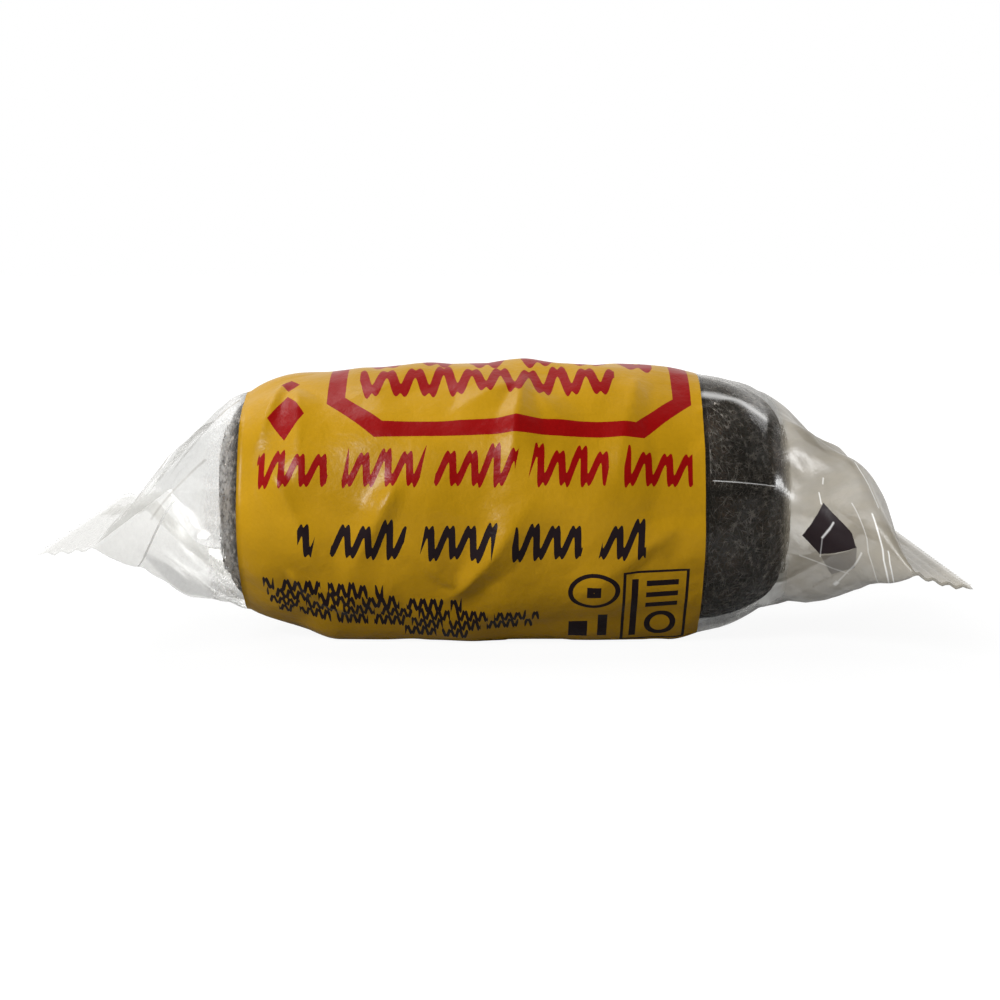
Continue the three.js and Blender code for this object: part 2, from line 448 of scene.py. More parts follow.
def film_columns(spacing, fixed):
    """Places along the roll, about spacing apart on the film, that pass through the fixed ones."""
    step = 0.05
    xs, lengths = [-PACK_HALF], [0.0]
    last = Section(-PACK_HALF)
    while xs[-1] < PACK_HALF - step / 2:
        here = Section(xs[-1] + step)
        run = [(here.point(s, 0) - last.point(s, 0)).length for s in (0.0, 0.25, 0.5, 0.75)]
        xs.append(xs[-1] + step)
        lengths.append(lengths[-1] + sum(run) / 4)
        last = here
    stops = [-PACK_HALF, *sorted(fixed), PACK_HALF]
    columns = [(-PACK_HALF, 0.0)]
    for start, stop in zip(stops, stops[1:]):
        a = min(range(len(xs)), key=lambda i: abs(xs[i] - start))
        b = min(range(len(xs)), key=lambda i: abs(xs[i] - stop))
        count = max(1, round((lengths[b] - lengths[a]) / spacing))
        i = a
        for k in range(1, count + 1):
            target = lerp(lengths[a], lengths[b], k / count)
            while i < b and lengths[i] < target:
                i += 1
            columns.append((stop if k == count else xs[i], target))
    return columns


# Creases on the film's front, in millimetres along the roll and up round it from the middle of
# the front: two ends, the width of each of its sides, and its height.
CREASES = (
    ((2.4, 21.4), (0.2, 3.0), 6.0, 4.0, 1.10),
    ((2.4, 21.4), (9.5, 11.0), 4.0, 4.0, 0.50),
    ((2.4, 21.4), (-10.0, 13.5), 5.0, 4.0, 0.50),
    ((-6.2, -10.7), (3.5, 2.0), 4.5, 5.0, 1.40),
    ((-6.2, -10.7), (-14.0, -2.0), 3.0, 6.0, 0.80),
    ((-15.0, 3.5), (-21.5, -9.0), 4.0, 5.0, 0.95),
    ((-30.4, 25.0), (-34.0, 9.5), 1.8, 3.0, 0.60),
    ((-28.5, 21.0), (-27.5, 4.0), 6.5, 3.5, 0.85),
    ((-31.0, 6.0), (-24.0, -10.0), 5.0, 5.0, 0.80),
    ((-28.6, -9.0), (-25.2, -14.5), 1.8, 2.4, 0.75),
    ((-25.2, -14.5), (-20.5, -16.5), 1.6, 2.2, 0.50),
    ((18.0, 22.0), (14.0, 2.0), 6.0, 5.0, 0.60),
    ((22.0, -2.0), (10.0, -12.0), 6.0, 5.0, 0.60),
    ((26.0, 17.0), (36.0, 21.0), 1.5, 3.0, 0.35),
)


def crease_height(x, s, crease):
    """A ridge from one end, where it is sharp and high, fading out to the other."""
    (x0, s0), (x1, s1), left, right, height = crease
    run = Vector((x1 - x0, s1 - s0))
    place = Vector((x - x0, s - s0))
    along = place.dot(run) / run.length_squared
    if not -0.25 < along < 1.25:
        return 0.0
    across = (run.x * place.y - run.y * place.x) / run.length
    spread = 0.5 + 0.5 * min(1.0, max(0.0, along))
    width = (left if across > 0 else right) * spread
    slope = max(0.0, 1 - abs(across) / width)
    fade = smooth((along + 0.25) / 0.4) * smooth((1.25 - along) / 0.9)
    return height * slope**1.3 * fade


def crumple(x, s, size):
    """Small flat facets with sharp edges between them, about as high as 1."""
    turn = s / FILM_ROUND * 2 * math.pi
    ring = FILM_ROUND / (2 * math.pi * size)
    place = Vector((x / size, ring * math.cos(turn), ring * math.sin(turn)))
    distances, _ = noise.voronoi(place, distance_metric="DISTANCE")
    return distances[0]


# How the film lies: its large waves, its facets and how far it may go in towards the wool
WAVE_LENGTH = 9
WAVES_ROUND = 2.1
WAVE_HEIGHT = 0.9
LARGE_FACETS = 13.0
SMALL_FACETS = 5.0
SMALL_SHIFT = 40  # round the film, so that the small facets don't repeat the large ones
TAIL_FACETS = (7.0, 3.2)
TAIL_SHIFT = 20
TAIL_ROUGHNESS = {-1: 1.0, 1: 0.8}  # the height of the facets on the left and the right tail
DEEPEST = -0.12


def film_relief(section, x, share, height):
    """How far the film stands out from its plain tube at a place."""
    s = (share - 1) * FILM_ROUND
    turn = share * 2 * math.pi
    around = Vector((x / WAVE_LENGTH, WAVES_ROUND * math.cos(turn), WAVES_ROUND * math.sin(turn)))
    soft = noise.noise(around + Vector((3.1, 0, 0)))
    facets = height * (2.6 * crumple(x, s, LARGE_FACETS) - 0.9)
    small = height * (crumple(x, s + SMALL_SHIFT, SMALL_FACETS) - 0.5) * smooth((36 - abs(x)) / 8)
    body = WAVE_HEIGHT * soft + facets + small
    body += max(crease_height(x, s, crease) for crease in CREASES)
    body = max(body, DEEPEST) + 0.05 * min(0.0, body)
    rough = TAIL_ROUGHNESS[1 if x > 0 else -1]
    large, fine = (crumple(x, s + TAIL_SHIFT * i, size) - 0.4 for i, size in enumerate(TAIL_FACETS))
    tail = rough * large + 0.35 * rough * fine
    room = min(1.0, section.half / 6)
    seal = smooth(section.tail * 4)
    return lerp(body, tail * room, seal)


class MESH_OT_wrap_film(bpy.types.Operator):
    """Wrap the flat printed film round the roll, with its back seam and its two end seals"""

    bl_idname = "mesh.wrap_film"
    bl_label = "Film Wrapper"

    MARGIN_RELIEF = 0.5  # how far the two margins of the fin follow the film under them

    def execute(self, context):
        settings = context.scene.wrapper_settings
        spacing = settings.grid / MM
        band = (settings.band_left / MM, settings.band_right / MM)
        columns = film_columns(spacing, band)
        length = columns[-1][1]
        width = FILM_ROUND + 2 * FIN_WIDTH
        rows = round(width / spacing)

        bm = bmesh.new()
        flat = bm.loops.layers.uv.new("OFBake")
        bmesh.ops.create_grid(
            bm, x_segments=len(columns) - 1, y_segments=rows, size=0.5,
            matrix=Matrix.Translation((0.5, 0.5, 0)),
        )
        sections = [Section(x) for x, _ in columns]
        steps = {}
        for face in bm.faces:
            column = round(face.calc_center_median().x * (len(columns) - 1) - 0.5)
            middle = (columns[column][0] + columns[column + 1][0]) / 2
            face.material_index = 1 if band[0] < middle < band[1] else 0
            for loop in face.loops:
                column = round(loop.vert.co.x * (len(columns) - 1))
                row = round(loop.vert.co.y * rows)
                steps[loop.vert] = (column, row)
                loop[flat].uv = (columns[column][1] / length, row / rows)
        height = settings.crumple / MM
        for vert, (column, row) in steps.items():
            x = columns[column][0]
            vert.co = self.place(sections[column], x, row / rows * width, height) * MM
        bmesh.ops.recalc_face_normals(bm, faces=bm.faces)

        materials = [clear_film(settings, length), printed_film(settings, length)]
        film = finished_object("film_wrapper_shell", bm, materials)
        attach(film, "root")
        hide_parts("film_wrapper")
        length * MM
        return {"FINISHED"}

    def place(self, section, x, across, height):
        """Where a place on the flat film goes. Across runs over a margin, the tube and a margin."""
        middle = FILM_WALL / 2
        tube = (across - FIN_WIDTH) / FILM_ROUND
        if tube < 0:
            share, out = FIN_ROOT - tube, middle + FILM_WALL + FIN_GAP
        elif tube > 1:
            share, out = FIN_ROOT + tube, middle + 2 * FILM_WALL + FIN_GAP
        else:
            share, out = FIN_ROOT + tube, middle
        relief = film_relief(section, x, share, height)
        if tube < 0 or tube > 1:
            relief *= self.MARGIN_RELIEF
        point = section.point(share, out + relief)
        notch = TOOTH_DEPTH * abs(2 * ((across / TOOTH_PITCH * 2) % 1) - 1)
        if abs(x) > PACK_HALF - 0.01:
            point.x -= math.copysign(notch, x)
        return point


# The print, in millimetres along the roll and up round it from the middle of the front

STROKES_IN_GROUP = 4.3


def stroke_row(finish, x, s, left, right, base, height, pitch, slant, seed, filled, thick):
    """A thick wavy pen line in groups, which stands for a line of print."""
    slanted = x - s * slant + seed
    wave = slanted / pitch
    count = finish.floor(wave)
    group = slanted / (pitch * STROKES_IN_GROUP)
    tall = height * finish.ramp(finish.chance(count + seed), 0.6, 0.7, 0.8, 1.0)
    turn = wave * (2 * math.pi)
    steep = finish.maths("SINE", turn) * tall * (math.pi / pitch)
    level = (s - base) - tall * (0.5 - 0.5 * finish.maths("COSINE", turn))
    away = abs(level) / finish.maths("SQRT", steep * steep + 1)
    inside = (x > left) * (x < right) * (group - finish.floor(group) < filled)
    return (away < pitch * thick) * inside


def outside_box(finish, x, s, left, right, low, high, cut=0.0):
    """How far a place lies outside a box, in millimetres, or outside one with its corners cut."""
    across = abs(x - (left + right) / 2) - (right - left) / 2
    up = abs(s - (low + high) / 2) - (high - low) / 2
    if not cut:
        return finish.most(across, up)
    return finish.most(across, up, (across + up + cut) * math.sqrt(0.5))


def ring(finish, x, s, centre, radii, width):
    """An oval line."""
    across = (x - centre[0]) / radii[0]
    up = (s - centre[1]) / radii[1]
    distance = finish.maths("SQRT", across * across + up * up)
    return (abs(distance - 1) * min(radii)) < width / 2


def line(finish, x, s, start, end, width):
    """A line with soft edges: 1 along its middle, 0 from half its width."""
    run_x, run_s = end[0] - start[0], end[1] - start[1]
    along = ((x - start[0]) * run_x + (s - start[1]) * run_s) / (run_x**2 + run_s**2)
    along = finish.most(finish.least(along, 1.0), 0.0)
    off_x = x - start[0] - along * run_x
    off_s = s - start[1] - along * run_s
    away = finish.maths("SQRT", off_x * off_x + off_s * off_s)
    return finish.ramp(away, 0.0, width / 2, 1.0, 0.0)


def wedge(finish, x, s, corners):
    """A shape with straight sides and no hollows, its corners given anticlockwise."""
    inside = None
    for (x0, s0), (x1, s1) in zip(corners, corners[1:] + corners[:1]):
        side = ((x - x0) * (s1 - s0) - (s - s0) * (x1 - x0)) < 0
        inside = side if inside is None else inside * side
    return inside


# The red print. A row of strokes is its left and right end, its base, height and pitch, its slant,
# its seed, the share of it that its groups take up, and its line's thickness as a share of the
# pitch. The frame is its left, right, low and high side and how much of its corners is cut.
FRAME = (-23.6, 23.6, 12.6, 46.0, 6.0)
FRAME_LINE = 2.5
DIAMONDS = (
    [(-30.4, 11.6), (-27.8, 16.0), (-30.4, 20.4), (-33.0, 16.0)],
    [(-30.4, 22.2), (-29.0, 24.6), (-30.4, 27.0), (-31.8, 24.6)],
)
LARGE_ROWS = (
    (-20.5, 14.5, 20.3, 4.0, 3.9, 0.0, 7.0, 1.1, 0.25),
    (-20.5, 20.0, 29.4, 8.0, 7.0, 0.0, 3.0, 1.1, 0.25),
    (-34.2, 24.6, 5.4, 3.4, 2.9, 0.2, 11.0, 0.84, 0.22),
)

# The black print. A box is its left, right, low and high side.
SMALL_ROWS = (
    (-28.4, 18.3, -4.8, 3.4, 2.8, 0.2, 23.0, 0.8, 0.22),
    (-33.7, -17.0, -12.2, 1.7, 1.5, 0.0, 31.0, 0.84, 0.26),
    (-33.3, -6.4, -14.3, 1.6, 1.4, 0.0, 32.0, 0.84, 0.26),
    (-33.1, 4.1, -16.2, 1.4, 1.2, 0.0, 33.0, 0.84, 0.26),
    (-31.8, 3.2, -18.1, 1.4, 1.2, 0.0, 34.0, 0.84, 0.26),
    (-14.5, -5.6, -20.0, 1.3, 1.2, 0.0, 35.0, 0.84, 0.26),
)
RINGS = (
    ((11.5, -11.1), (3.2, 2.8), 0.6),
    ((20.8, -18.6), (1.8, 1.8), 0.8),
)
CARD = (15.6, 24.2, -22.0, -8.2)
CARD_LINE = 0.4
BARS = (
    (16.6, 17.5, -21.0, -9.4),
    (18.6, 23.0, -10.8, -9.8),
    (18.6, 23.0, -13.0, -12.0),
    (18.6, 23.0, -15.2, -14.2),
    (12.2, 13.5, -20.6, -16.0),
    (8.2, 10.8, -20.6, -17.6),
)
SQUARE = (11.0, 12.0, -11.6, -10.6)
SQUARE_EDGE = 0.45


def red_print(finish, x, s):
    marks = [abs(outside_box(finish, x, s, *FRAME)) < FRAME_LINE / 2]
    marks += [wedge(finish, x, s, corners) for corners in DIAMONDS]
    marks += [stroke_row(finish, x, s, *row) for row in LARGE_ROWS]
    return finish.most(*marks)


def black_print(finish, x, s):
    marks = [stroke_row(finish, x, s, *row) for row in SMALL_ROWS]
    marks += [ring(finish, x, s, *row) for row in RINGS]
    marks += [outside_box(finish, x, s, *bar) < 0 for bar in BARS]
    marks.append(abs(outside_box(finish, x, s, *SQUARE)) < SQUARE_EDGE)
    marks.append(abs(outside_box(finish, x, s, *CARD)) < CARD_LINE / 2)
    return finish.most(*marks)


def film_place(finish, length):
    """Where a place on the film lies, along the roll and up round it, by the flat film's map."""
    width = FILM_ROUND + 2 * FIN_WIDTH
    map_node = finish.add("ShaderNodeUVMap", {"uv_map": "OFBake"})
    parts = finish.add("ShaderNodeSeparateXYZ", Vector=map_node.outputs[0])
    x = (Level(finish, parts.outputs[0]) - 0.5) * length
    s = Level(finish, parts.outputs[1]) * width - FIN_WIDTH - FILM_ROUND * (1 - FIN_ROOT)
    return x, s


def printed_film(settings, length):
    """Opaque yellow print under a glossy film."""
    finish = Finish(bpy.data.materials.new("printed_band"))
    x, s = film_place(finish, length)
    cloud = finish.mottle(0.06, detail=3.0)
    grain = finish.mottle(2.2, detail=2.0)
    pale = finish.ramp(cloud, 0.35, 0.65)
    ground = finish.mix(pale, dimmed(settings.yellow, 0.86), opaque(settings.yellow))
    ink = finish.mix(red_print(finish, x, s), ground, opaque(settings.red))
    ink = finish.mix(black_print(finish, x, s), ink, opaque(settings.black))
    wear = finish.ramp(grain, 0.2, 0.8, 0.97, 1.03)
    tint = finish.add("ShaderNodeCombineXYZ", X=wear, Y=wear, Z=wear).outputs[0]
    worn = finish.add("ShaderNodeVectorMath", {"operation": "MULTIPLY"}, i0=ink, i1=tint)
    waves = finish.mottle(0.55, detail=3.0, roughness=0.6)
    shader = finish.shade(
        Base_Color=worn.outputs[0],
        Roughness=finish.ramp(cloud, 0.3, 0.7, 0.28, 0.38),
        Specular_IOR_Level=0.14,
        Normal=finish.bump(waves, 0.25 * MM, 0.5),
    )
    return finish.done(shader)


# Painted glints: fine pale lines along sharp creases in the clear film, and two painted highlights
# over the wool's right end. Each is two ends, a width and a strength.
PAINTED_GLINT_LINES = (
    ((51.4, 3.5), (58.4, -12.2), 0.5, 0.8),
    ((53.8, 0.5), (57.2, -7.0), 0.4, 0.8),
    ((48.4, 4.2), (54.5, -8.0), 0.3, 0.35),
    ((49.6, -0.8), (46.9, -8.5), 0.4, 0.4),
    ((46.9, -8.5), (46.6, -9.4), 0.9, 0.6),
    ((43.4, 5.4), (43.6, 3.6), 0.4, 0.6),
    ((44.4, 8.6), (44.2, 7.4), 0.4, 0.5),
    ((45.4, 1.3), (43.7, -1.4), 0.5, 0.6),
    ((43.7, -1.4), (43.7, -4.8), 0.35, 0.3),
    ((40.6, -6.4), (48.2, -5.6), 0.5, 0.25),
    ((49.8, 12.0), (52.6, 5.0), 0.4, 0.6),
    ((27.4, 5.3), (36.4, 4.8), 0.25, 0.6),
    ((26.9, 20.4), (35.5, 18.0), 2.2, 0.45),
    ((-43.0, 20.0), (-50.0, 12.0), 0.6, 0.8),
    ((-47.0, 4.0), (-54.0, -6.0), 0.5, 0.8),
)
# Wider lines of painted shade along the left tail's folds: two ends and a width
SHADED_FOLD_LINES = (
    ((-38.5, 26.8), (-45.4, 18.0), 1.6),
    ((-45.4, 18.0), (-50.5, 12.5), 1.4),
    ((-42.5, 10.0), (-47.4, 5.8), 0.9),
    ((-47.4, 5.8), (-50.5, 1.8), 0.8),
)
# The black mark, and its painted shadow on the film's far layer, in the mark's ink at half strength
MARK = [(40.6, -2.4), (43.6, -4.4), (48.9, -0.4), (44.0, 3.9)]
MARK_SHADOW = [(43.8, -4.6), (45.8, -7.4), (48.9, -3.6), (48.9, -0.4)]
GLOSS_COLOUR = (0.95, 0.95, 0.95, 1)
FILM_TINT = (0.97, 0.97, 0.96, 1)
FILM_IOR = 1.5


def milkiness(finish, x):
    """How much light the clear film scatters: most on the right tail and the left shoulder. On the
    left shoulder the white scatter is painted light, mottled into painted sparkle.
    """
    streaks = finish.mottle(0.5, detail=3.0, stretch=(0.25, 1, 1))
    glints = finish.mottle(1.8, detail=3.0, roughness=0.7, stretch=(1.5, 0.7, 0.7))
    right = finish.ramp(x, 37.2, 39.4, 0.03, 0.62) * finish.ramp(streaks, 0.3, 0.75, 0.88, 1.12)
    # Painted light: the left shoulder's white milkiness, mottled by the glints noise
    left = finish.ramp(x, -39.0, -37.6, 0.36, 0.0) * finish.ramp(x, -43.5, -39.8, 0.14, 1.0)
    return right + left * finish.ramp(glints, 0.36, 0.64, 0.45, 1.4)


def milk_colour_with_painted_light(finish, settings, x, s, grey):
    """Painted light on the film's milkiness: white painted light on the left, and on the right a
    warm grey of painted shade that darkens towards the underside as painted shade.
    """
    # Painted shade: the warm grey is dimmed towards the underside
    high = finish.ramp(s, -14.0, 2.0)
    warm = finish.mix(high, dimmed(settings.milk_and_painted_light, 0.68), opaque(settings.milk_and_painted_light))
    # Painted light: white towards the left end, and warm grey painted shade towards the right and
    # along the fold lines
    share = finish.most(finish.ramp(x, -20.0, 20.0), grey)
    return finish.mix(share, opaque(settings.painted_glare), warm)


def clear_film(settings, length):
    """Clear film: its gloss, a slight milkiness, the printed mark near one end, and painted light:
    painted glints on its creases, painted shade along the left tail's folds and the mark's painted
    shadow.
    """
    finish = Finish(bpy.data.materials.new("clear_film"))
    x, s = film_place(finish, length)
    # Painted glints: where the pale lines lie
    pale = [line(finish, x, s, *crease) * strength for *crease, strength in PAINTED_GLINT_LINES]
    # Painted shade along the left tail's folds: more milkiness there, in the warm grey
    grey = finish.most(*[line(finish, x, s, *crease) for crease in SHADED_FOLD_LINES])
    waves = finish.mottle(0.6, detail=3.0, roughness=0.65)
    normal = finish.bump(waves, 0.2 * MM, 0.35)

    through = finish.add("ShaderNodeBsdfTransparent", Color=FILM_TINT).outputs[0]
    # The milky layer, coloured with painted light on the left and painted shade on the right
    milk_and_painted_light = finish.shade(
        Base_Color=milk_colour_with_painted_light(finish, settings, x, s, grey),
        Roughness=0.5,
        Specular_IOR_Level=0.2,
        Normal=normal,
    )
    ink = finish.shade(Base_Color=opaque(settings.black), Roughness=0.45, Specular_IOR_Level=0.2)
    # Painted glints: a pale diffuse colour laid along the crease lines
    crease = finish.shade(Base_Color=opaque(settings.painted_glare), Roughness=0.5)
    gloss = finish.shade(
        Base_Color=GLOSS_COLOUR,
        Metallic=1.0,
        Roughness=finish.ramp(abs(x), 30.0, 38.0, 0.16, 0.28),
        Normal=normal,
    )

    # The mark, with its painted shadow at half strength
    mark = finish.most(wedge(finish, x, s, MARK), wedge(finish, x, s, MARK_SHADOW) * 0.5)
    # Milkiness plus the painted fold shade, over what shows through
    body = finish.blend(milkiness(finish, x) + grey * 0.3, through, milk_and_painted_light)
    body = finish.blend(mark, body, ink)
    # The painted glints over the film
    body = finish.blend(finish.most(*pale), body, crease)
    edge = Level(finish, finish.add("ShaderNodeFresnel", IOR=FILM_IOR, Normal=normal).outputs[0])
    shine = finish.ramp(abs(x), 36.0, 42.0, 0.85, 0.42)
    return finish.done(finish.blend(edge * shine, body, gloss))


# The wool

# How fine the noise is along each axis, for fibres that run along the first, second or third
FIBRE_WAYS = ((0.25, 1.8, 1.8), (1.8, 0.25, 1.8), (1.8, 1.8, 0.25))
SEAM_HEIGHT = 3.3  # of the painted shade line under the ribbon's outer end, above the axis
SEAM_REACH = (0.25, 1.1)  # how far from the seam the painted shade is darkest and where it ends


def wool_material(settings):
    """Matted fibres, dark in their depth, with a painted shade line along the lap seam on the
    front.
    """
    finish = Finish(bpy.data.materials.new("steel_wool"))
    ways = [finish.mottle(2.2, detail=3.0, roughness=0.65, stretch=way) for way in FIBRE_WAYS]
    strands = finish.most(*ways)
    clumps = finish.mottle(0.25, detail=3.0)
    parts = finish.add("ShaderNodeSeparateXYZ", Vector=finish.place())
    y, z = Level(finish, parts.outputs[1]), Level(finish, parts.outputs[2])
    # Painted shade: a dark line along the lap seam on the front, where the ribbon's outer end
    # overhangs
    off_seam = abs(z / MM - (AXIS_HEIGHT + SEAM_HEIGHT))
    seam = finish.most(finish.ramp(off_seam, *SEAM_REACH), y > 0)
    # The fibres' tone, times the painted seam shade
    depth = finish.ramp(strands * 0.75 + clumps * 0.3, 0.49, 0.76) * seam
    colour = finish.mix(depth, opaque(settings.dark), opaque(settings.light))
    shader = finish.shade(
        Base_Color=colour,
        Metallic=0.5,
        Roughness=finish.ramp(strands, 0.3, 0.7, 0.75, 0.5),
        Normal=finish.bump(strands + clumps * 0.5, 0.5 * MM, 1.0),
    )
    return finish.done(shader)


def strand_material(settings):
    """A single bare steel fibre."""
    finish = Finish(bpy.data.materials.new("steel_fibre"))
    shine = finish.mottle(1.1, detail=2.0)
    bare = finish.ramp(shine, 0.45, 0.68)
    colour = finish.mix(bare, dimmed(settings.bright, 0.22), opaque(settings.bright))
    rough = finish.ramp(shine, 0.3, 0.7, 0.5, 0.3)
    return finish.done(finish.shade(Base_Color=colour, Metallic=0.85, Roughness=rough))


def lap_radius(r, turn):
    """The spiral roll's radius, from that at the lap and the share of a turn from there."""
    return r * (1 - LAP_STEP / ROLL_RADIUS * turn)


def wool_profile():
    """Half of the roll's outline, from the middle of one end to the middle of its length."""
    ring_step, barrel_step, shoulder_steps = 0.4, 0.8, 16
    end_radius = roll_radius(ROLL_HALF)
    rings = round(end_radius / ring_step)
    points = [(ROLL_HALF, end_radius * i / rings) for i in range(rings + 1)]
    for i in range(1, shoulder_steps + 1):
        turn = i / shoulder_steps * math.pi / 2
        x = ROLL_HALF - SHOULDER_LENGTH * (1 - math.cos(turn))
        points.append((x, roll_radius(x)))
    straight = ROLL_HALF - SHOULDER_LENGTH
    count = round(straight / barrel_step)
    for i in range(1, count + 1):
        x = straight * (1 - i / count)
        points.append((x, roll_radius(x)))
    return points


GROOVE_DEPTH = 2.2
GROOVE_WIDTH = 0.55


def groove_depth(r, turn):
    """How deep the gap between two turns of the ribbon runs at a place on the roll's end."""
    outermost = roll_radius(ROLL_HALF - 3) * (1 - LAP_STEP / ROLL_RADIUS)
    turns_in = (outermost - r) / RIBBON_THICKNESS
    if turns_in < -0.2:
        return 0.0
    nearest = abs((turns_in - turn + 0.5) % 1 - 0.5) * RIBBON_THICKNESS
    return GROOVE_DEPTH * math.exp(-((nearest / GROOVE_WIDTH) ** 2))


class MESH_OT_wind_wool(bpy.types.Operator):
    """Wind the steel wool ribbon into the roll, with its lap in front and its turns on both ends"""

    bl_idname = "mesh.wind_wool"
    bl_label = "Wound Wool"

    STEPS = 160
    LUMP_LENGTH = 4.5

    def execute(self, context):
        settings = context.scene.wool_settings
        bm = bmesh.new()
        half = wool_profile()
        outline = half + [(-x, r) for x, r in reversed(half[:-1])]
        verts = [bm.verts.new((x, -r, 0)) for x, r in outline]
        edges = [bm.edges.new(pair) for pair in zip(verts, verts[1:])]
        bmesh.ops.spin(
            bm, geom=verts + edges, cent=(0, 0, 0), axis=(-1, 0, 0), angle=2 * math.pi,
            steps=self.STEPS, use_duplicate=False, use_merge=False,
        )
        self.shape(bm, settings)
        bmesh.ops.remove_doubles(bm, verts=bm.verts, dist=0.01 * MM)
        self.close_lap(bm)
        bmesh.ops.recalc_face_normals(bm, faces=bm.faces)
        self.sort_faces(bm)

        wool = finished_object("wool_body", bm, [wool_material(settings)])
        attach(wool, "root")
        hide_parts("wool_roll")
        return {"FINISHED"}

    def shape(self, bm, settings):
        """Steps each turn in under the lap, cuts the spiral gaps and raises the lumps."""
        bm.verts.ensure_lookup_table()
        rows = len(bm.verts) // (self.STEPS + 1)
        lumps = settings.lumps / MM
        for i, vert in enumerate(bm.verts):
            turn = (i // rows) / self.STEPS
            x = vert.co.x
            r = math.hypot(vert.co.y, vert.co.z)
            on_end = abs(x) > ROLL_HALF - 0.01
            if on_end:
                x -= math.copysign(groove_depth(r, turn), x)
            angle = LAP_ANGLE + turn * 2 * math.pi
            r = lap_radius(r, turn)
            place = Vector((x, -r * math.cos(angle), r * math.sin(angle)))
            rough = noise.fractal(place / self.LUMP_LENGTH, 1.0, 2.0, 3) * lumps
            if on_end:
                place.x += math.copysign(rough - 0.2, x)
            elif r > 1:
                place *= 1 + (rough - 0.15) / r
                place.x = x
            z = max(AXIS_HEIGHT + place.z, FILM_WALL + FILM_GAP * 0.5)
            vert.co = Vector((place.x, place.y, z)) * MM

    def close_lap(self, bm):
        """Fills the step between the first and the last column of the spiral."""
        open_edges = [edge for edge in bm.edges if edge.is_boundary]
        if open_edges:
            bmesh.ops.holes_fill(bm, edges=open_edges, sides=0)

    def sort_faces(self, bm):
        """Lists the faces by their vertices, because a spin lists them differently on each run."""
        bm.verts.index_update()
        count = len(bm.verts)

        def order(face):
            corners = [vert.index for vert in face.verts]
            return min(corners) * count + max(corners)

        bm.faces.sort(key=order)


class MESH_OT_pull_strands(bpy.types.Operator):
    """Scatter the loose steel fibres where the film leaves them in view"""

    bl_idname = "mesh.pull_strands"
    bl_label = "Loose Fibres"

    INNERMOST = {1: 27.5, -1: 36.0}  # how far from the middle the fibres of each side start
    SHARE_ON_END = 0.35
    POINTS = 5
    QUICK_SHARE = 6

    def execute(self, context):
        settings = context.scene.wool_settings
        material = strand_material(settings)
        for name, side, seed in (("fibres_right", 1, 11), ("fibres_left", -1, 12)):
            count = settings.strands // 1
            self.tuft(name, side, count, settings.strand_width, material, random.Random(seed))
        return {"FINISHED"}

    def tuft(self, name, side, count, width, material, chance):
        """One end's fibres, as one curve turned into a mesh."""
        curve = bpy.data.curves.new(name, "CURVE")
        curve.dimensions = "3D"
        curve.bevel_depth = width / 2
        curve.bevel_resolution = 0
        curve.use_fill_caps = True
        for _ in range(count):
            points = self.strand(side, chance)
            spline = curve.splines.new("POLY")
            spline.points.add(len(points) - 1)
            thick = chance.uniform(0.6, 1.5)
            for i, (spot, point) in enumerate(zip(spline.points, points)):
                spot.co = (*(point * MM), 1)
                spot.radius = thick * (0.35 if i in (0, len(points) - 1) else 1)
        shape = bpy.data.objects.new(name + "_curve", curve)
        bpy.context.scene.collection.objects.link(shape)
        bpy.context.view_layer.update()
        mesh = bpy.data.meshes.new_from_object(shape)
        bpy.data.objects.remove(shape)
        bpy.data.curves.remove(curve)
        mesh.name = name
        mesh.materials.clear()
        mesh.materials.append(material)
        fibres = bpy.data.objects.new(name, mesh)
        bpy.context.scene.collection.objects.link(fibres)
        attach(fibres, "root")

    def strand(self, side, chance):
        """One fibre, as points that wander over the roll's surface."""
        inner = self.INNERMOST[side]
        on_end = chance.random() < self.SHARE_ON_END
        turn = chance.random()
        drift = chance.uniform(-0.5, 0.5)
        heading = chance.gauss(0, 0.75)
        reach = chance.uniform(0.6, 1.8)
        if on_end:
            along, r = ROLL_HALF, chance.uniform(1.5, roll_radius(ROLL_HALF))
        else:
            along, r = chance.uniform(inner, ROLL_HALF), None
        points = []
        lift = chance.uniform(-0.1, 0.3)
        for _ in range(self.POINTS):
            radius = r if on_end else roll_radius(min(along, ROLL_HALF))
            angle = LAP_ANGLE + turn * 2 * math.pi
            out = lap_radius(radius, turn % 1) + (0 if on_end else lift)
            bow = lift + chance.uniform(0, 0.25)
            x = side * (along + (bow + 0.4 if on_end else 0))
            z = max(AXIS_HEIGHT + out * math.sin(angle), FILM_WALL + 0.2)
            points.append(Vector((x, -out * math.cos(angle), z)))
            heading += chance.gauss(0, 0.35) + drift * 0.3
            turn += reach * math.cos(heading) / (2 * math.pi * max(3.0, radius))
            if on_end:
                r = min(max(1.0, r + reach * math.sin(heading)), roll_radius(ROLL_HALF))
            else:
                along = min(max(inner, along + reach * math.sin(heading)), ROLL_HALF - 0.2)
        return points


# The stage

WHITE = (1, 1, 1, 1)
PAPER_GREY = (0.34, 0.34, 0.34, 1)
ROOM_COLOUR = (1.0, 0.98, 0.95, 1)
ROOM_LIGHT = (0.09, 0.9)  # from the front and from behind the roll
FLOOR_GLOW = 1.16
FLOOR_SIZE = 3.0
SHADOW_REACH = (0.05, 0.16)  # over which the floor goes from shaded to plain white

# Each lamp's name, place in metres, power in watts and size in metres
LAMPS = (
    ("key", (-0.28, 0.14, 0.52), 1.4, 0.30),
    ("front", (-0.42, -0.52, 0.42), 6.1, 0.22),
    ("far side", (0.55, 0.30, 0.40), 1.6, 0.40),
)


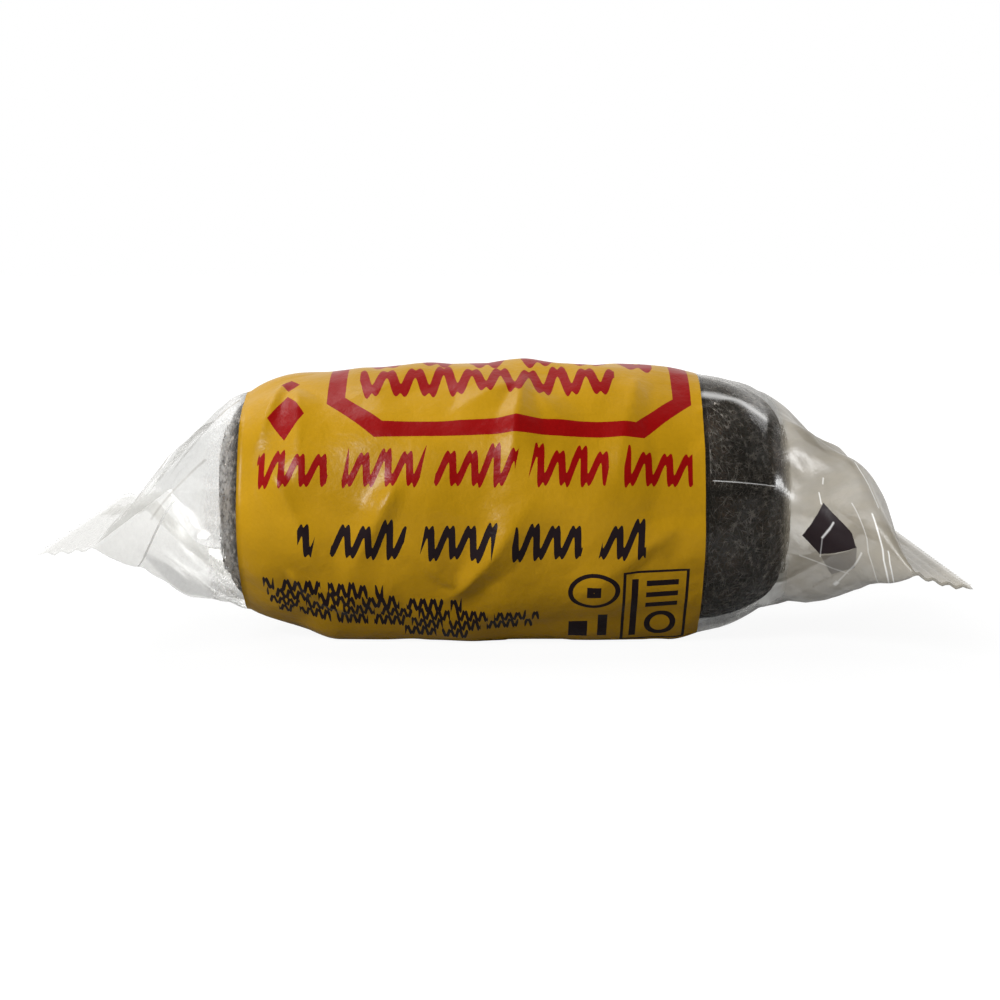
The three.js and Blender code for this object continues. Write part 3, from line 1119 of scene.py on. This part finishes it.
def lamp(name, place, power, size):
    """A square lamp at a place, turned to the middle of the roll."""
    data = bpy.data.lights.new(name, "AREA")
    data.energy = power
    data.shape = "RECTANGLE"
    data.size = data.size_y = size
    light = bpy.data.objects.new(name, data)
    light.location = place
    towards = Vector((0, 0, AXIS_HEIGHT * MM)) - Vector(place)
    light.rotation_euler = towards.to_track_quat("-Z", "Y").to_euler()
    bpy.context.scene.collection.objects.link(light)


def floor_material():
    """Pale and even: the camera sees it near white, with the object's shadow kept."""
    finish = Finish(bpy.data.materials.new("pale_floor"))
    rays = finish.add("ShaderNodeLightPath")
    seen = finish.most(
        Level(finish, rays.outputs["Is Camera Ray"]),
        Level(finish, rays.outputs["Is Transmission Ray"]),
    )
    paper = finish.shade(Base_Color=PAPER_GREY, Roughness=0.9, Specular_IOR_Level=0.0)
    glow = finish.add("ShaderNodeEmission", Color=WHITE, Strength=FLOOR_GLOW).outputs[0]
    length = finish.add("ShaderNodeVectorMath", {"operation": "LENGTH"}, Vector=finish.place())
    away = Level(finish, length.outputs[1])
    return finish.done(finish.blend(seen * finish.ramp(away, *SHADOW_REACH, 0.8, 1.0), paper, glow))


class SCENE_OT_set_stage(bpy.types.Operator):
    """Set the floor, the world, the lamps and the camera"""

    bl_idname = "scene.set_stage"
    bl_label = "Stage"

    def execute(self, context):
        scene = context.scene
        settings = scene.stage_settings
        self.backdrop()
        self.world(scene)
        for row in LAMPS:
            lamp(*row)
        camera = bpy.data.cameras.new("camera")
        camera.lens = settings.lens
        camera.clip_start = 0.01
        view = bpy.data.objects.new("camera", camera)
        away = Vector((0, -math.cos(settings.elevation), math.sin(settings.elevation)))
        view.location = Vector(settings.aim) + away * settings.distance
        view.rotation_euler = (-away).to_track_quat("-Z", "Y").to_euler()
        scene.collection.objects.link(view)
        scene.camera = view
        scene.view_settings.view_transform = "Standard"
        return {"FINISHED"}

    def backdrop(self):
        bm = bmesh.new()
        bmesh.ops.create_grid(bm, x_segments=1, y_segments=1, size=FLOOR_SIZE)
        floor = finished_object("floor", bm, [floor_material()], smooth_faces=False)

    def world(self, scene):
        """Light that is strong from behind and weak from the front, and white to the camera."""
        finish = Finish(bpy.data.worlds.new("pale_room"))
        rays = finish.add("ShaderNodeLightPath")
        towards = finish.add("ShaderNodeTexCoord").outputs["Generated"]
        back = finish.add("ShaderNodeSeparateXYZ", Vector=towards).outputs[1]
        front, behind = ROOM_LIGHT
        strength = finish.add(
            "ShaderNodeMapRange",
            Value=back, From_Min=-0.2, From_Max=0.7, To_Min=front, To_Max=behind,
        ).outputs[0]
        room = finish.add("ShaderNodeBackground", Color=ROOM_COLOUR, Strength=strength).outputs[0]
        paper = finish.add("ShaderNodeBackground", Color=WHITE, Strength=1.0).outputs[0]
        seen = finish.blend(rays.outputs["Is Camera Ray"], room, paper)
        finish.add("ShaderNodeOutputWorld", Surface=seen)
        scene.world = finish.owner


STEPS = (SCENE_OT_set_stage, MESH_OT_wind_wool, MESH_OT_pull_strands, MESH_OT_wrap_film)


class VIEW3D_PT_wool_roll(bpy.types.Panel):
    """The pieces of the roll and their sizes"""

    bl_label = "Steel Wool Roll"
    bl_space_type = "VIEW_3D"
    bl_region_type = "UI"
    bl_category = "Wool Roll"

    def draw(self, context):
        for step in STEPS:
            self.layout.operator(step.bl_idname)
        for group in ("wool_settings", "wrapper_settings", "stage_settings"):
            settings = getattr(context.scene, group)
            for name in settings.__annotations__:
                self.layout.prop(settings, name)


CLASSES = (
    WrapperSettings,
    WoolSettings,
    StageSettings,
    *STEPS,
    VIEW3D_PT_wool_roll,
)


def register():
    for cls in CLASSES:
        bpy.utils.register_class(cls)
    bpy.types.Scene.wrapper_settings = PointerProperty(type=WrapperSettings)
    bpy.types.Scene.wool_settings = PointerProperty(type=WoolSettings)
    bpy.types.Scene.stage_settings = PointerProperty(type=StageSettings)


def unregister():
    del bpy.types.Scene.stage_settings
    del bpy.types.Scene.wool_settings
    del bpy.types.Scene.wrapper_settings
    for cls in reversed(CLASSES):
        bpy.utils.unregister_class(cls)


def main():
    register()
    bpy.ops.scene.set_stage()
    bpy.ops.mesh.wind_wool()
    bpy.ops.mesh.pull_strands()
    bpy.ops.mesh.wrap_film()


if __name__ == "__main__":
    main()
